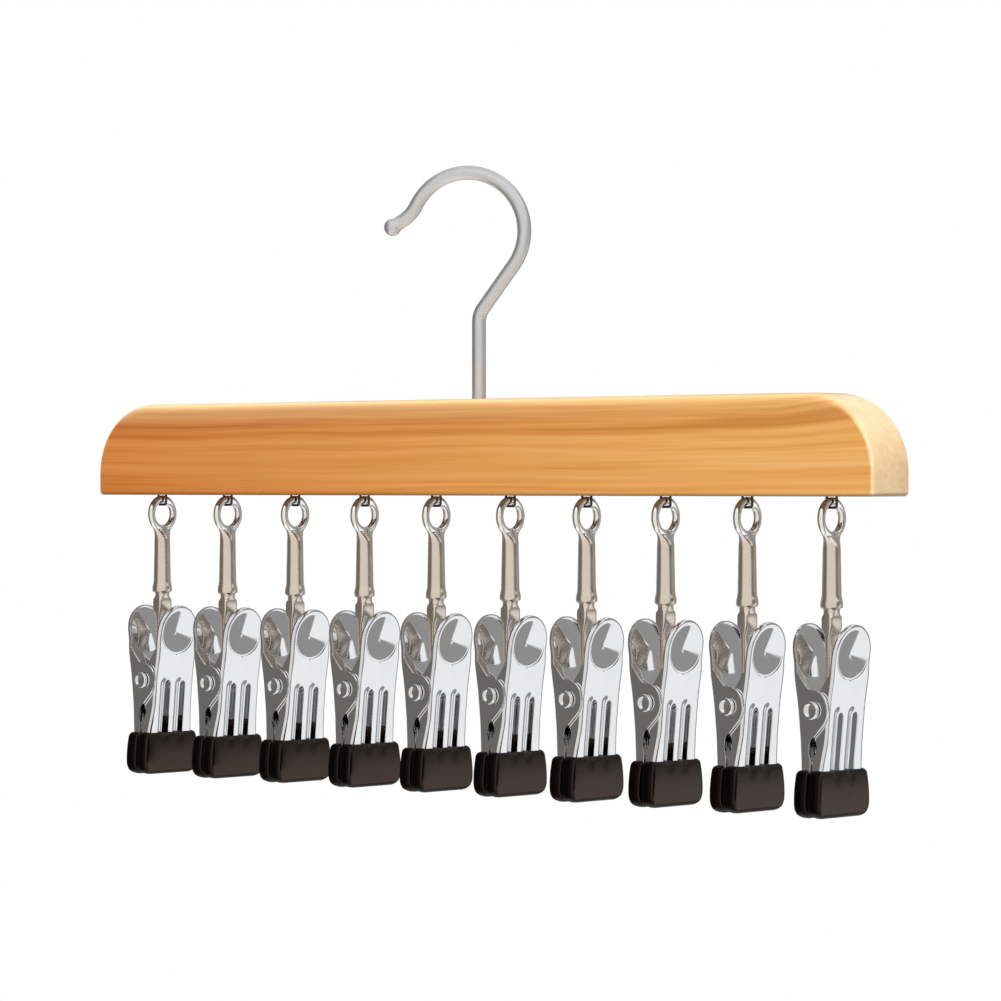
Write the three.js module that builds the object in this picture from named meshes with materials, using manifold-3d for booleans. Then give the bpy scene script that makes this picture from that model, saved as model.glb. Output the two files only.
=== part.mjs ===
// A wooden multi-clip hanger: a rounded pine bar on a swivelling steel hook,
// with ten sprung steel clips, each hung on its own link from a staple in the underside.
// Millimetres, +Z up, +X along the bar. The origin is the inside of the hook's crown, on the swivel axis.
import * as THREE from "three";
import { mergeVertices } from "three/addons/utils/BufferGeometryUtils.js";
import Module from "manifold-3d";

// Bar
// The bar's middle lies a little to one side of the swivel axis, so the hook stands off centre by "offset"
const BAR = { length: 360, height: 33.5, depth: 20, cornerRadius: 26, edge: 2.2, offset: -2.8 };
const CLIP_COUNT = 10;
const CLIP_PITCH = 34.7;

// Hook: one bent wire, with a ball on its open end
const WIRE = { radius: 2.45, ball: 3.05 };
const CROWN = { radius: 20.5, above: 58.3, aside: -4.3, start: -36, end: 153 };
const STEM_BEND = { radius: 8, above: 29.5 };
const FLARE = { radius: 13, turn: 33, run: 4 };
const HOOK_YAW = 28;
const SHANK_END = 1.6;
const HOOK_BORE = 2.8;
const COUNTERBORE = { radius: 6.4, depth: 8 };
const WASHER = { outer: 5.6, thickness: 1 };
const NUT = { acrossFlats: 8, height: 3.4 };

// Staple that carries a link, measured down from the bar's underside
const STAPLE = { wire: 0.45, crown: 3.6, halfSpan: 2 };

// Link: ring, rolled barrel, square collar and flat tail in one stamping.
// Depths run down from the bar's underside.
const RING = { depth: 7.1, outer: 6.9, inner: 4.2, thickness: 2.4 };
const SHOULDER = { top: 11, bottom: 16, topWidth: 10, bottomWidth: 6 };
const BARREL = [
  [0, 13],
  [2.9, 15.4],
  [3.2, 32],
  [3.6, 33.6],
  [3.7, 35.8],
  [2.6, 36.4],
  [2.4, 38.4],
  [0, 38.4],
];
const COLLAR = { top: 38, bottom: 43, end: 45.4, width: 6.1, thickness: 5 };
const TAIL = { top: 44, width: 5.5, thickness: 1.8, eye: 2.7 };

// Clip: two pressed sheet jaws on one rivet. Depths run down from the bar's underside.
const SHEET = 0.8;
const PIVOT_DEPTH = 68.7;
const PIN = { radius: 1.5, head: 3.1, headHeight: 1.1, dome: 1.9, clearance: 0.3 };
const WEB = [
  [10.4, 41],
  [6.2, 67],
  [4.2, 88],
  [3.5, 101],
];
const HANDLE = { half: 9.7, drop: 3 };
const WAIST = { top: 57.5, bottom: 78.5 };
const FOOT = { depth: 88, half: 11, end: 90 };
const FLANK = { outer: 10.4, inner: 9.3 };
const EAR = { outer: 6.5, inner: 4.4, from: 80, to: 235 };
const FLANK_EDGE = { inset: 1.35, depth: 78 };
const DIMPLE = { depth: 50.8, radius: 7.85, sink: 1.7, opening: 3 };
const GROOVE = { start: 67.6, end: 90, width: 3.6, spacing: 7.6, sink: 0.45 };
const TIP = { top: 88, bottom: 103.5, half: 14.2, corner: 4, outer: 5.4, gap: 0.15, taper: 0.6, lip: 0.3 };
const TOE = { rise: 2.4, inset: 1.4 };
const PAST = 20; // further out than any piece of a clip reaches

// Torsion spring on the rivet, beside the tail
const COIL = { radius: 2.5, wire: 0.5, turns: 2, pitch: 1.5, start: 3.6, legDepth: 59.6 };

const COLOURS = {
  pine: { color: 0xd9a05f, roughness: 0.42, metalness: 0 },
  zinc: { color: 0xb9bcc0, roughness: 0.35, metalness: 1 },
  nickel: { color: 0xc9bfb2, roughness: 0.3, metalness: 1 },
  chrome: { color: 0xdcdde0, roughness: 0.14, metalness: 1 },
  spring: { color: 0x8f9296, roughness: 0.35, metalness: 1 },
  vinyl: { color: 0x2e2826, roughness: 0.5, metalness: 0 },
};

const wasm = await Module();
wasm.setup();

const radians = THREE.MathUtils.degToRad;
const seatHeight = CROWN.above + Math.sqrt((CROWN.radius - WIRE.radius) ** 2 - CROWN.aside ** 2);
const barTop = -seatHeight;
const underside = barTop - BAR.height;

// A closed three.js geometry as a solid that can be joined and cut
function solid(geometry) {
  const bare = geometry.clone();
  bare.deleteAttribute("normal");
  bare.deleteAttribute("uv");
  const merged = mergeVertices(bare, 1e-4);
  return new wasm.Manifold(
    new wasm.Mesh({
      numProp: 3,
      vertProperties: new Float32Array(merged.attributes.position.array),
      triVerts: new Uint32Array(merged.index.array),
    }),
  );
}

// The surface of a solid, flat shaded; triangles that came from the marked solid form a second material group
function surface(body, marked = -1) {
  const mesh = body.getMesh();
  const runs = [...mesh.runOriginalID].map((id, i) => ({
    group: id === marked ? 1 : 0,
    triangles: mesh.triVerts.slice(mesh.runIndex[i], mesh.runIndex[i + 1]),
  }));
  runs.sort((a, b) => a.group - b.group);
  const geometry = new THREE.BufferGeometry();
  const index = [];
  for (const run of runs) {
    geometry.addGroup(index.length, run.triangles.length, run.group);
    index.push(...run.triangles);
  }
  geometry.setAttribute("position", new THREE.BufferAttribute(mesh.vertProperties, 3));
  geometry.setIndex(index);
  const flat = geometry.toNonIndexed();
  for (const { start, count, materialIndex } of geometry.groups) flat.addGroup(start, count, materialIndex);
  flat.computeVertexNormals();
  return flat;
}

function box(width, depth, height, x, y, z) {
  return solid(new THREE.BoxGeometry(width, depth, height).translate(x, y, z));
}

// A round bar or disc along one axis
function rod(radius, length, axis, x, y, z, sides = 12) {
  const geometry = new THREE.CylinderGeometry(radius, radius, length, sides);
  if (axis === "x") geometry.rotateZ(Math.PI / 2);
  if (axis === "z") geometry.rotateX(Math.PI / 2);
  return solid(geometry.translate(x, y, z));
}

// An outline of [across, height] points, extruded along Y from y0 to y1, across = X
function sidePlate(points, y0, y1) {
  const shape = new THREE.Shape(points.map(([x, z]) => new THREE.Vector2(x, z)));
  const geometry = new THREE.ExtrudeGeometry(shape, { depth: y1 - y0, bevelEnabled: false });
  return solid(geometry.rotateX(Math.PI / 2).translate(0, y1, 0));
}

// An outline of [across, height] points, extruded along X from x0 to x1, across = Y
function facePlate(points, x0, x1) {
  const shape = new THREE.Shape(points.map(([y, z]) => new THREE.Vector2(y, z)));
  const geometry = new THREE.ExtrudeGeometry(shape, { depth: x1 - x0, bevelEnabled: false });
  return solid(geometry.rotateX(Math.PI / 2).rotateZ(Math.PI / 2).translate(x0, 0, 0));
}

// Points of a circular arc in a plane, from one angle to another in degrees
function arc(cx, cz, radius, from, to, steps) {
  return Array.from({ length: steps + 1 }, (_, i) => {
    const angle = radians(from + ((to - from) * i) / steps);
    return [cx + radius * Math.cos(angle), cz + radius * Math.sin(angle)];
  });
}

const ASKEW = new THREE.Vector3(0.31, 0.95, 0.02); // a direction that no wire starts along

// A closed round wire along a list of points, its section carried along without twisting
function wire(points, radius, sides) {
  const tangents = points.map((p, i) => {
    const before = points[Math.max(i - 1, 0)];
    const after = points[Math.min(i + 1, points.length - 1)];
    return after.clone().sub(before).normalize();
  });
  let across = ASKEW.clone().cross(tangents[0]).normalize();
  const positions = [];
  points.forEach((p, i) => {
    across = across.addScaledVector(tangents[i], -across.dot(tangents[i])).normalize();
    const up = tangents[i].clone().cross(across);
    for (let k = 0; k < sides; k++) {
      const angle = (2 * Math.PI * k) / sides;
      const place = p
        .clone()
        .addScaledVector(across, radius * Math.cos(angle))
        .addScaledVector(up, radius * Math.sin(angle));
      positions.push(place.x, place.y, place.z);
    }
  });
  const index = [];
  for (let i = 0; i + 1 < points.length; i++) {
    for (let k = 0; k < sides; k++) {
      const a = i * sides + k;
      const b = i * sides + ((k + 1) % sides);
      index.push(a, b, b + sides, a, b + sides, a + sides);
    }
  }
  const last = (points.length - 1) * sides;
  for (let k = 1; k + 1 < sides; k++) index.push(0, k + 1, k, last, last + k, last + k + 1);
  const geometry = new THREE.BufferGeometry();
  geometry.setAttribute("position", new THREE.Float32BufferAttribute(positions, 3));
  geometry.setIndex(index);
  return geometry;
}

const part = new THREE.Group();

function material(finish) {
  return new THREE.MeshStandardMaterial(COLOURS[finish]);
}

function addPiece(parent, name, geometry, ...finishes) {
  const materials = finishes.map(material);
  const mesh = new THREE.Mesh(geometry, materials.length > 1 ? materials : materials[0]);
  mesh.name = name;
  parent.add(mesh);
}

// One staple: a crown that the ring hangs on and two legs driven into the wood
function staple(x) {
  const low = underside - STAPLE.crown;
  const high = underside + BAR.edge;
  const path = [
    [-STAPLE.halfSpan, high],
    [-STAPLE.halfSpan, low + STAPLE.wire],
    [-STAPLE.halfSpan + STAPLE.wire, low],
    [STAPLE.halfSpan - STAPLE.wire, low],
    [STAPLE.halfSpan, low + STAPLE.wire],
    [STAPLE.halfSpan, high],
  ];
  return solid(wire(path.map(([dx, z]) => new THREE.Vector3(x + dx, 0, z)), STAPLE.wire, 5));
}

// The bar: its front outline has two large round top corners, and every edge is eased
function barBody() {
  const half = BAR.length / 2;
  const reach = half - BAR.cornerRadius;
  const arch = barTop - BAR.cornerRadius;
  const outline = [
    [-half, underside],
    [half, underside],
    ...arc(reach, arch, BAR.cornerRadius, 0, 90, 9),
    ...arc(-reach, arch, BAR.cornerRadius, 90, 180, 9),
  ];
  const shape = new THREE.Shape(outline.map(([x, z]) => new THREE.Vector2(x, z)));
  const geometry = new THREE.ExtrudeGeometry(shape, {
    depth: BAR.depth - 2 * BAR.edge,
    bevelThickness: BAR.edge,
    bevelSize: BAR.edge,
    bevelOffset: -BAR.edge,
    bevelSegments: 2,
  });
  geometry.rotateX(Math.PI / 2).translate(BAR.offset, BAR.depth / 2 - BAR.edge, 0);
  const middle = barTop - BAR.height / 2;
  let bar = solid(geometry)
    .subtract(rod(HOOK_BORE, BAR.height + 2, "z", 0, 0, middle, 16))
    .subtract(rod(COUNTERBORE.radius, 2 * COUNTERBORE.depth, "z", 0, 0, underside, 20));
  for (let i = 0; i < CLIP_COUNT; i++) bar = bar.add(staple(clipPlace(i)));
  return bar;
}

function clipPlace(i) {
  return BAR.offset + (i - (CLIP_COUNT - 1) / 2) * CLIP_PITCH;
}

// The hook's centre line, across the hook's own plane and above the bar's top
function hookLine() {
  const lean = -CROWN.start;
  const bend = STEM_BEND.radius;
  const run = bend * Math.tan(radians(lean / 2));
  const crown = arc(CROWN.aside, CROWN.above, CROWN.radius, CROWN.start, CROWN.end, 18);
  const [endX, endZ] = crown.at(-1);
  const out = radians(CROWN.end);
  const flareX = endX + FLARE.radius * Math.cos(out);
  const flareZ = endZ + FLARE.radius * Math.sin(out);
  const back = CROWN.end - 180;
  const flare = arc(flareX, flareZ, FLARE.radius, back, back - FLARE.turn, 4);
  const heading = radians(back - FLARE.turn);
  const [lastX, lastZ] = flare.at(-1);
  return [
    [0, -BAR.height + SHANK_END],
    [0, STEM_BEND.above - run - bend],
    ...arc(bend, STEM_BEND.above - run, bend, 180, 180 - lean, 4),
    ...crown,
    ...flare.slice(1),
    [lastX + FLARE.run * Math.sin(heading), lastZ - FLARE.run * Math.cos(heading)],
  ];
}

function hookBody() {
  const line = hookLine().map(([u, v]) => new THREE.Vector3(u, 0, barTop + v));
  const end = line.at(-1);
  const ball = new THREE.SphereGeometry(WIRE.ball, 10, 8).translate(end.x, end.y, end.z);
  return solid(wire(line, WIRE.radius, 8)).add(solid(ball));
}

function washerBody() {
  const z = underside + COUNTERBORE.depth - PIN.clearance - WASHER.thickness / 2;
  const plate = rod(WASHER.outer, WASHER.thickness, "z", 0, 0, z, 20);
  return plate.subtract(rod(HOOK_BORE, 2 * WASHER.thickness, "z", 0, 0, z, 16));
}

function nutBody() {
  const z = underside + COUNTERBORE.depth - 2 * PIN.clearance - WASHER.thickness - NUT.height / 2;
  const hexagon = rod(NUT.acrossFlats / Math.sqrt(3), NUT.height, "z", 0, 0, z, 6);
  return hexagon.subtract(rod(HOOK_BORE, 2 * NUT.height, "z", 0, 0, z, 16));
}

// The pieces of a clip are made about its own origin: below the bar, on the bar's underside, depth = -Z

function linkBody() {
  const ring = rod(RING.outer, RING.thickness, "x", 0, 0, -RING.depth, 16);
  const shoulder = facePlate(
    [
      [-SHOULDER.topWidth / 2, -SHOULDER.top],
      [-SHOULDER.bottomWidth / 2, -SHOULDER.bottom],
      [SHOULDER.bottomWidth / 2, -SHOULDER.bottom],
      [SHOULDER.topWidth / 2, -SHOULDER.top],
    ],
    -RING.thickness / 2,
    RING.thickness / 2,
  );
  const profile = BARREL.map(([r, depth]) => new THREE.Vector2(r, -depth)).reverse();
  const barrel = solid(new THREE.LatheGeometry(profile, 10).rotateX(Math.PI / 2));
  const collar = sidePlate(
    [
      [-COLLAR.thickness / 2, -COLLAR.top],
      [-COLLAR.thickness / 2, -COLLAR.bottom],
      [-TAIL.thickness / 2, -COLLAR.end],
      [TAIL.thickness / 2, -COLLAR.end],
      [COLLAR.thickness / 2, -COLLAR.bottom],
      [COLLAR.thickness / 2, -COLLAR.top],
    ],
    -COLLAR.width / 2,
    COLLAR.width / 2,
  );
  const tailLength = PIVOT_DEPTH - TAIL.top;
  const tail = box(TAIL.thickness, TAIL.width, tailLength, 0, 0, -TAIL.top - tailLength / 2);
  const eye = rod(TAIL.eye, TAIL.width, "y", 0, 0, -PIVOT_DEPTH, 8);
  return ring
    .add(shoulder)
    .subtract(rod(RING.inner, 2 * RING.thickness, "x", 0, 0, -RING.depth, 16))
    .add(barrel)
    .add(collar)
    .add(tail)
    .add(eye)
    .subtract(rod(PIN.radius + PIN.clearance, 2 * TAIL.width, "y", 0, 0, -PIVOT_DEPTH, 8));
}

function rivetBody() {
  const reach = FLANK.outer + PIN.clearance;
  const shaft = rod(PIN.radius, 2 * reach + PIN.headHeight, "y", 0, 0, -PIVOT_DEPTH, 8);
  const heads = [-1, 1].map((side) => {
    const crown = new THREE.CylinderGeometry(PIN.dome, PIN.head, PIN.headHeight, 10);
    if (side < 0) crown.rotateX(Math.PI);
    return solid(crown.translate(0, side * (reach + PIN.headHeight / 2), -PIVOT_DEPTH));
  });
  return shaft.add(heads[0]).add(heads[1]);
}

// The outer face of the web at a depth, by straight lines between the pressed bends
function webAt(depth) {
  const next = Math.max(1, WEB.findIndex(([, d]) => d >= depth));
  const [[x0, d0], [x1, d1]] = [WEB[next - 1], WEB[next]];
  return x0 + ((x1 - x0) * (depth - d0)) / (d1 - d0);
}

// The web's outline seen from outside: a round handle, a straight waist and a flared foot
function webOutline() {
  const edge = (flank) => [
    [HANDLE.half, -DIMPLE.depth - HANDLE.drop],
    [flank, -WAIST.top],
    [flank, -WAIST.bottom],
    [FOOT.half, -FOOT.depth],
    [FOOT.half, -FOOT.end],
  ];
  const top = arc(0, -DIMPLE.depth, HANDLE.half, 0, 180, 8);
  return [...edge(FLANK.outer).reverse(), ...top, ...edge(FLANK.inner).map(([y, z]) => [-y, z])];
}

// A dished disc about the dimple's axis, from a rim radius down to its deepest point
function dish(radius, sink, lift) {
  const sphere = (radius ** 2 + sink ** 2) / (2 * sink);
  const profile = [0, 0.5, 1].map((share) => {
    const r = radius * share;
    return new THREE.Vector2(r, sphere - sink - Math.sqrt(sphere ** 2 - r ** 2));
  });
  profile.push(new THREE.Vector2(radius, lift), new THREE.Vector2(0, lift));
  const geometry = new THREE.LatheGeometry(profile, 10);
  const low = webAt(DIMPLE.depth + DIMPLE.radius);
  const high = webAt(DIMPLE.depth - DIMPLE.radius);
  const tilt = Math.atan2(high - low, 2 * DIMPLE.radius);
  geometry.rotateZ(-Math.PI / 2).rotateY(tilt);
  return solid(geometry.translate((low + high) / 2, 0, -DIMPLE.depth));
}

// A groove along the web: a straight run with a pointed upper end
function groove(y) {
  const { start, end, sink } = GROOVE;
  const half = GROOVE.width / 2;
  const floor = [start, FOOT.depth, end].map((depth) => [webAt(depth) - sink, -depth]);
  const channel = sidePlate([...floor, [webAt(end) + 1, -end], [webAt(start) + 1, -start]], y - half, y + half);
  const outline = [
    [y - half, -end],
    [y + half, -end],
    [y + half, -start - half],
    [y, -start],
    [y - half, -start - half],
  ];
  return channel.intersect(facePlate(outline, 0, PAST));
}

// The flank seen from the side: from the web to an ear round the rivet, and back to the edge of the mouth
function flankOutline(ear) {
  const rear = (depth) => [webAt(depth) - SHEET / 2, -depth];
  return [
    rear(WAIST.top),
    ...arc(0, -PIVOT_DEPTH, ear, EAR.from, EAR.to, 5),
    [FLANK_EDGE.inset, -FLANK_EDGE.depth],
    [FLANK_EDGE.inset, -FOOT.end],
    rear(FOOT.end),
    rear(FOOT.depth),
    rear(WEB[1][1]),
  ];
}

// One jaw, facing +X, with its dipped tip. Its +Y flank lies outside the other jaw's and its -Y flank inside,
// so the same stamping turned half round makes the other jaw.
function jawBody() {
  const inner = WEB.map(([x, depth]) => [x - SHEET, -depth]).reverse();
  const strip = sidePlate([...WEB.map(([x, depth]) => [x, -depth]), ...inner], -PAST, PAST);
  let jaw = strip.intersect(facePlate(webOutline(), 0, PAST));
  jaw = jaw.add(sidePlate(flankOutline(EAR.outer), FLANK.outer - SHEET, FLANK.outer));
  jaw = jaw.add(sidePlate(flankOutline(EAR.inner), -FLANK.inner, SHEET - FLANK.inner));
  for (const side of [-1, 1]) jaw = jaw.subtract(groove((side * GROOVE.spacing) / 2));
  jaw = jaw.add(dish(DIMPLE.radius + SHEET, DIMPLE.sink + SHEET, -SHEET / 2));
  jaw = jaw.subtract(dish(DIMPLE.radius, DIMPLE.sink, DIMPLE.opening));
  jaw = jaw.subtract(rod(PIN.radius + PIN.clearance, 2 * PAST, "y", 0, 0, -PIVOT_DEPTH, 8));
  const reach = TIP.half - TIP.corner;
  const low = -TIP.bottom + TIP.corner;
  const outline = [
    ...arc(reach, low, TIP.corner, -90, 0, 2),
    [TIP.half - TIP.taper, -TIP.top],
    [-TIP.half + TIP.taper, -TIP.top],
    ...arc(-reach, low, TIP.corner, 180, 270, 2),
  ];
  const side = [
    [TIP.gap, -TIP.top],
    [TIP.gap, -TIP.bottom],
    [TIP.outer - TOE.inset, -TIP.bottom],
    [TIP.outer, -TIP.bottom + TOE.rise],
    [TIP.outer - TIP.lip, -TIP.top],
  ];
  const tip = sidePlate(side, -PAST, PAST).intersect(facePlate(outline, 0, PAST)).asOriginal();
  return { body: jaw.asOriginal().add(tip), tip: tip.originalID() };
}

// The spring: a coil round the rivet between two straight legs that lie along the handles
function springBody() {
  const turns = COIL.turns + 0.5;
  const steps = Math.round(turns * 8);
  const rest = webAt(COIL.legDepth) - SHEET - PIN.clearance - COIL.wire;
  const place = (angle, y) =>
    new THREE.Vector3(COIL.radius * Math.cos(angle), y, COIL.radius * Math.sin(angle) - PIVOT_DEPTH);
  const coil = Array.from({ length: steps + 1 }, (_, i) =>
    place((2 * Math.PI * turns * i) / steps, COIL.start + COIL.pitch * (turns * i) / steps),
  );
  const [first, last] = [coil[0], coil.at(-1)];
  const legs = [
    new THREE.Vector3(rest, first.y, -COIL.legDepth),
    new THREE.Vector3(-rest, last.y, -COIL.legDepth),
  ];
  return wire([legs[0], ...coil, legs[1]], COIL.wire, 5);
}

addPiece(part, "bar", surface(barBody()), "pine");

const hook = new THREE.Group();
hook.rotation.z = radians(HOOK_YAW);
part.add(hook);
addPiece(hook, "hook", surface(hookBody()), "zinc");
addPiece(hook, "hook_washer", surface(washerBody()), "zinc");
addPiece(hook, "hook_nut", surface(nutBody()), "zinc");

const link = surface(linkBody());
const rivet = surface(rivetBody());
const spring = springBody();
const jaw = jawBody();
const rightJaw = surface(jaw.body, jaw.tip);
const leftJaw = rightJaw.clone().rotateZ(Math.PI);

for (let i = 0; i < CLIP_COUNT; i++) {
  const clip = new THREE.Group();
  clip.position.set(clipPlace(i), 0, underside);
  part.add(clip);
  const number = String(i + 1).padStart(2, "0");
  addPiece(clip, `clip_${number}_link`, link, "nickel");
  addPiece(clip, `clip_${number}_left_jaw`, leftJaw, "chrome", "vinyl");
  addPiece(clip, `clip_${number}_right_jaw`, rightJaw, "chrome", "vinyl");
  addPiece(clip, `clip_${number}_rivet`, rivet, "chrome");
  addPiece(clip, `clip_${number}_spring`, spring, "spring");
}

export default part;
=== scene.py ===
# %% [markdown]
# # A pine hanger with ten sprung clips
# The object is a lacquered pine bar on a swivelling wire hook. Ten chromed clips hang below it, each on its
# own nickel-plated link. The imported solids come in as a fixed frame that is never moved. Each step below
# makes a finer piece for one of them, in the same place and the same metres, and hands it to the body that
# carries it.

# %% Load the frame
import math

import bmesh
import bpy
from mathutils import Matrix, Vector


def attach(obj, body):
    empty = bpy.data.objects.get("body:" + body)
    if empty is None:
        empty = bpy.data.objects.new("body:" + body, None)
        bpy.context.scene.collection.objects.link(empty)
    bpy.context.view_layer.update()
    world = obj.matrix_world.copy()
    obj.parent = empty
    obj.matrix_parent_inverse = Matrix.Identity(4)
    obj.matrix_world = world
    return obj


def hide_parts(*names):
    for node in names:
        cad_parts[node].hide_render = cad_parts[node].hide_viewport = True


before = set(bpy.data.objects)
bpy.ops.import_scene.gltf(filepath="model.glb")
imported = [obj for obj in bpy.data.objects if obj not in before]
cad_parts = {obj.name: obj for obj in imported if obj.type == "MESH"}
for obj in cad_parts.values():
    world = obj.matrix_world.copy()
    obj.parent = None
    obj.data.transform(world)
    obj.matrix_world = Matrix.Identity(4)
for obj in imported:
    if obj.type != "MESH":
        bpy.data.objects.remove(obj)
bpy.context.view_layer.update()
MM = 0.001

# %% [markdown]
# ## Camera
# A product picture like this is taken from far away with a long lens, so that the clips in front and behind
# stay nearly the same size. The camera stands level with the underside of the bar and looks at it from the
# right. A small shift frames the hanger without tilting the camera, which keeps the clips upright.

# %% Camera
BEARING = math.radians(42.1)
STAND = (0.9760, -1.0833, -0.1053)

lens = bpy.data.cameras.new("camera")
lens.sensor_width = 36
lens.lens = 150.9
lens.shift_x, lens.shift_y = 0.0275, -0.0165
camera = bpy.data.objects.new("camera", lens)
camera.location = STAND
camera.rotation_euler = (math.pi / 2, 0, BEARING)
bpy.context.scene.collection.objects.link(camera)
bpy.context.scene.camera = camera
print("camera distance in m:", round(Vector(STAND).length, 3))

# %% [markdown]
# ## Writing materials
# Each finish is one Principled shader. Whatever is the same all over is typed straight into its sockets, and
# only what really varies, such as grain, haze and fine bumps, comes through texture nodes. Colours are picked
# as sRGB hex values, as on a paint card, and turned to the linear values that the shader works in.


# %% Colour and nodes
def linear(hex_colour):
    parts = [int(hex_colour[i : i + 2], 16) / 255 for i in (1, 3, 5)]
    return (*[p / 12.92 if p <= 0.04045 else ((p + 0.055) / 1.055) ** 2.4 for p in parts], 1.0)


def add(tree, kind, links=None, **settings):
    """One node, with its settings, and with each named input linked to a socket or set to a value."""
    made = tree.nodes.new(kind)
    for key, value in settings.items():
        setattr(made, key, value)
    for name, value in (links or {}).items():
        if isinstance(value, bpy.types.NodeSocket):
            tree.links.new(value, made.inputs[name])
        else:
            made.inputs[name].default_value = value
    return made


print("middle grey in linear light:", round(linear("#808080")[0], 3))


# %% Starting a finish
def new_finish(name, **constants):
    """A material with its shader's plain sockets set, its node tree, and the place on the piece in metres."""
    finish = bpy.data.materials.new(name)
    finish.use_nodes = True
    tree = finish.node_tree
    shader = tree.nodes["Principled BSDF"]
    for key, value in constants.items():
        shader.inputs[key.replace("_", " ").title().replace("Ior", "IOR")].default_value = value
    return finish, tree, shader, add(tree, "ShaderNodeTexCoord").outputs["Object"]


# Pine under clear lacquer. The lacquer is the coat: it gives a soft shine along the rounded edges.
pine, tree, shader, spot = new_finish(
    "lacquered_pine", coat_weight=0.8, coat_roughness=0.25, coat_ior=1.5, ior=1.5
)
print("finish started:", pine.name)

# %% [markdown]
# ## Pine grain
# Pine has soft pale early wood and narrow amber late wood, and a flat-sawn bar shows them as long streaks.
# A picture of wood could be laid on, but it would stretch round the corners. Three noises that run through
# the whole block, drawn out along the bar, give broad streaks, growth lines and fibres. They sway a little,
# and near the right end they climb towards the top corner, as grain does beside a knot.

# %% Where the grain runs
SWAY = {"waves_per_m": 7.0, "reach": 7}
CLIMB = {"from_x": 130, "to_x": 178, "from_z": -100, "to_z": -78, "rise": -4}
axis = add(tree, "ShaderNodeSeparateXYZ", {0: spot}).outputs
sway = add(tree, "ShaderNodeTexNoise", {"Vector": spot, "Scale": SWAY["waves_per_m"], "Detail": 1.0})
swayed = add(
    tree,
    "ShaderNodeVectorMath",
    {0: sway.outputs["Color"], 1: (0.0, SWAY["reach"] * MM, SWAY["reach"] * MM), 2: spot},
    operation="MULTIPLY_ADD",
)
near_end = add(
    tree,
    "ShaderNodeMapRange",
    {"Value": axis["X"], "From Min": CLIMB["from_x"] * MM, "From Max": CLIMB["to_x"] * MM},
    interpolation_type="SMOOTHSTEP",
)
near_top = add(
    tree,
    "ShaderNodeMapRange",
    {
        "Value": axis["Z"],
        "From Min": CLIMB["from_z"] * MM,
        "From Max": CLIMB["to_z"] * MM,
        "To Max": CLIMB["rise"] * MM,
    },
)
climb = add(tree, "ShaderNodeMath", {0: near_end.outputs[0], 1: near_top.outputs[0]}, operation="MULTIPLY")
climbing = add(tree, "ShaderNodeCombineXYZ", {"Z": climb.outputs[0]})
grown = add(tree, "ShaderNodeVectorMath", {0: swayed.outputs[0], 1: climbing.outputs[0]}, operation="ADD")
print("grain climbs by mm:", -CLIMB["rise"])

# %% Streaks, growth lines and fibres
# Real fibres are finer than the render can show, so they are drawn almost a millimetre high.
GRAIN_MM = {  # length along the bar, depth and height of one mark, and how much fine detail it has
    "streaks": ((500, 11.1, 6.67), 3.0),
    "lines": ((200, 3.03, 2.083), 3.0),
    "fibres": ((71.4, 2.0, 0.909), 4.0),
}
LINE_SHARE, FIBRE_SHARE = 0.7, 0.3
CONTRAST = (0.78, 1.22)
grain = {}
for name, (size, detail) in GRAIN_MM.items():
    per_metre = [1 / (length * MM) for length in size]
    drawn_out = add(tree, "ShaderNodeVectorMath", {0: grown.outputs[0], 1: per_metre}, operation="MULTIPLY")
    noise = add(tree, "ShaderNodeTexNoise", {"Vector": drawn_out.outputs[0], "Scale": 1.0, "Detail": detail})
    grain[name] = noise.outputs["Fac"]
lined = add(
    tree,
    "ShaderNodeMath",
    {0: grain["lines"], 1: LINE_SHARE, 2: grain["streaks"]},
    operation="MULTIPLY_ADD",
)
mixed = add(
    tree,
    "ShaderNodeMath",
    {0: grain["fibres"], 1: FIBRE_SHARE, 2: lined.outputs[0]},
    operation="MULTIPLY_ADD",
)
spread = add(
    tree,
    "ShaderNodeMapRange",
    {"Value": mixed.outputs[0], "From Min": CONTRAST[0], "From Max": CONTRAST[1]},
)
print("grain patterns:", ", ".join(grain))

# %% [markdown]
# ## Pine colours
# The grain picks a tone between late wood and early wood. A slow change along the bar makes it darker and
# redder towards its left end, which is painted shade, away from the light at the right. The ends and the top
# edge are painted paler, which is painted highlight where they face the lamps. The direction that the surface
# faces tells where those are, and their pale tones follow the same grain, so that the grain runs on over the
# edge.

# %% Tone of the wood
TONES = {"late": "#C67F31", "middle": "#DE9D4C", "early": "#E9AF66", "shaded_left_end": "#ECC8A3"}
ALONG_BAR = {"From Min": -180 * MM, "From Max": 140 * MM}
tone = add(tree, "ShaderNodeValToRGB", {"Fac": spread.outputs[0]})
tone.color_ramp.elements[0].color = linear(TONES["late"])
tone.color_ramp.elements[1].color = linear(TONES["early"])
tone.color_ramp.elements.new(0.5).color = linear(TONES["middle"])
# Painted shade: the wood is darker and redder towards the left end, away from the light at the right.
along = add(tree, "ShaderNodeMapRange", {"Value": axis["X"], **ALONG_BAR})
left_shade = add(
    tree,
    "ShaderNodeMix",
    {"Factor": along.outputs[0], "A": linear(TONES["shaded_left_end"]), "B": linear("#FFFFFF")},
    data_type="RGBA",
)
toned = add(
    tree,
    "ShaderNodeMix",
    {"Factor": 1.0, "A": tone.outputs["Color"], "B": left_shade.outputs["Result"]},
    data_type="RGBA",
    blend_type="MULTIPLY",
)
print("pine tones:", TONES)
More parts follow.
